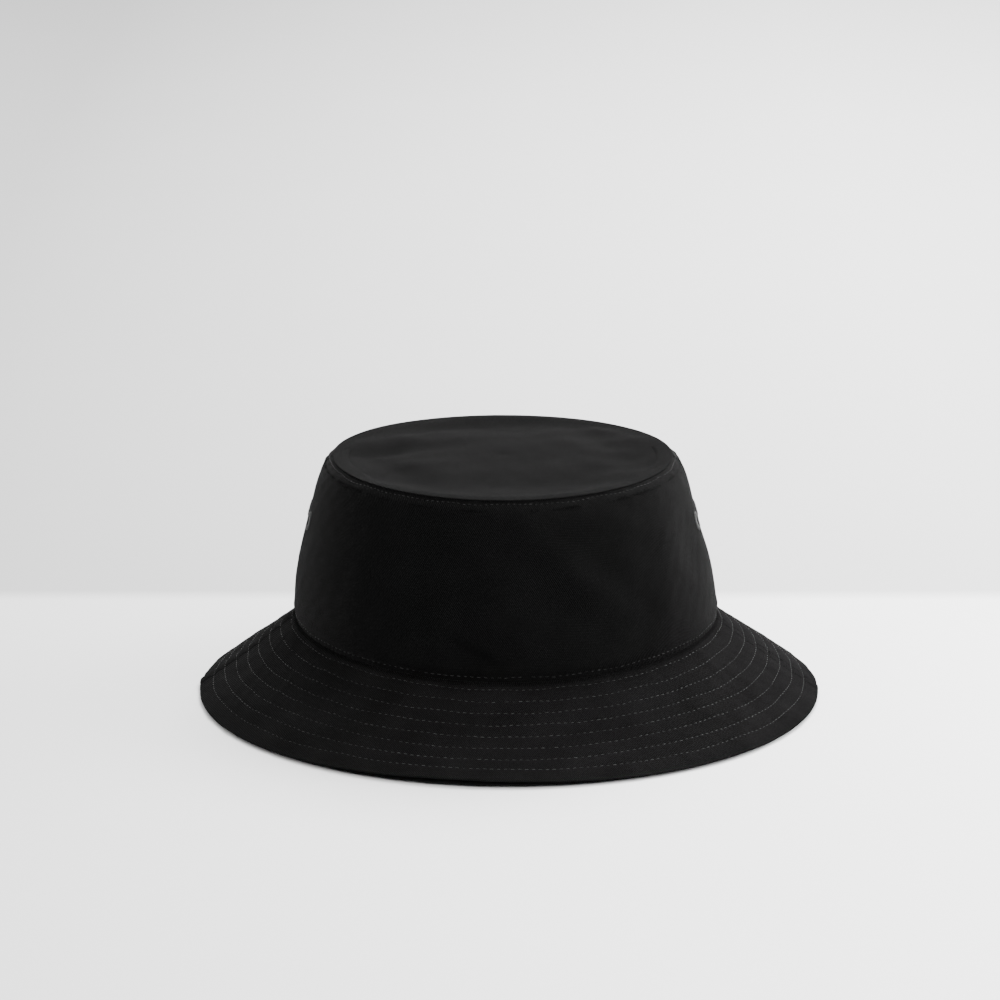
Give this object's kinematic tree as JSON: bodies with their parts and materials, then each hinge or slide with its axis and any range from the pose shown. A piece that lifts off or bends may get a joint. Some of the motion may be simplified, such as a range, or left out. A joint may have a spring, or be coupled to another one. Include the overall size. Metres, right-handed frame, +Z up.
{
  "type": "bucket hat",
  "caption": "Bucket hat of black cotton twill: round flat tip, tapered crown wall and a sloping brim quilted with rows of topstitching.",
  "frame": {"origin": "centre of the circle of the brim's edge, on the surface that the hat stands on", "axes": "+Z up through the tip, -Y towards the front of the hat, +X towards the right side seam as seen from the front"},
  "size_m": [0.2839, 0.2839, 0.1101],
  "materials": {
    "twill": "matte",
    "interlining": "matte",
    "band": "matte",
    "tape": "matte",
    "eyelet_thread": "satin",
    "thread": "satin",
    "label": "satin"
  },
  "bodies": {
    "hat": {"crown_tip": "twill", "crown_side_front": "twill", "crown_side_back": "twill", "brim_top_front": "twill", "brim_top_back": "twill", "brim_under_front": "twill", "brim_under_back": "twill", "brim_interlining_front": "interlining", "brim_interlining_back": "interlining", "sweatband": "band", "tip_seam_tape": "tape", "side_seam_tape_left": "tape", "side_seam_tape_right": "tape", "eyelet_left_front": "eyelet_thread", "eyelet_left_back": "eyelet_thread", "eyelet_right_front": "eyelet_thread", "eyelet_right_back": "eyelet_thread", "tip_topstitch": "thread", "crown_base_topstitch": "thread", "crown_edge_topstitch": "thread", "brim_stitch_row_1": "thread", "brim_stitch_row_2": "thread", "brim_stitch_row_3": "thread", "brim_stitch_row_4": "thread", "brim_stitch_row_5": "thread", "brim_stitch_row_6": "thread", "brim_stitch_row_7": "thread", "brim_stitch_row_8": "thread"},
    "label": {"care_label": "label"}
  },
  "joints": [
    {"name": "care_label_flip", "type": "hinge", "parent": "hat", "child": "label", "pos_m": [0, 0.09576, 0.05734], "axis": [-1, 0, 0], "range_deg": [-8, 165]}
  ]
}
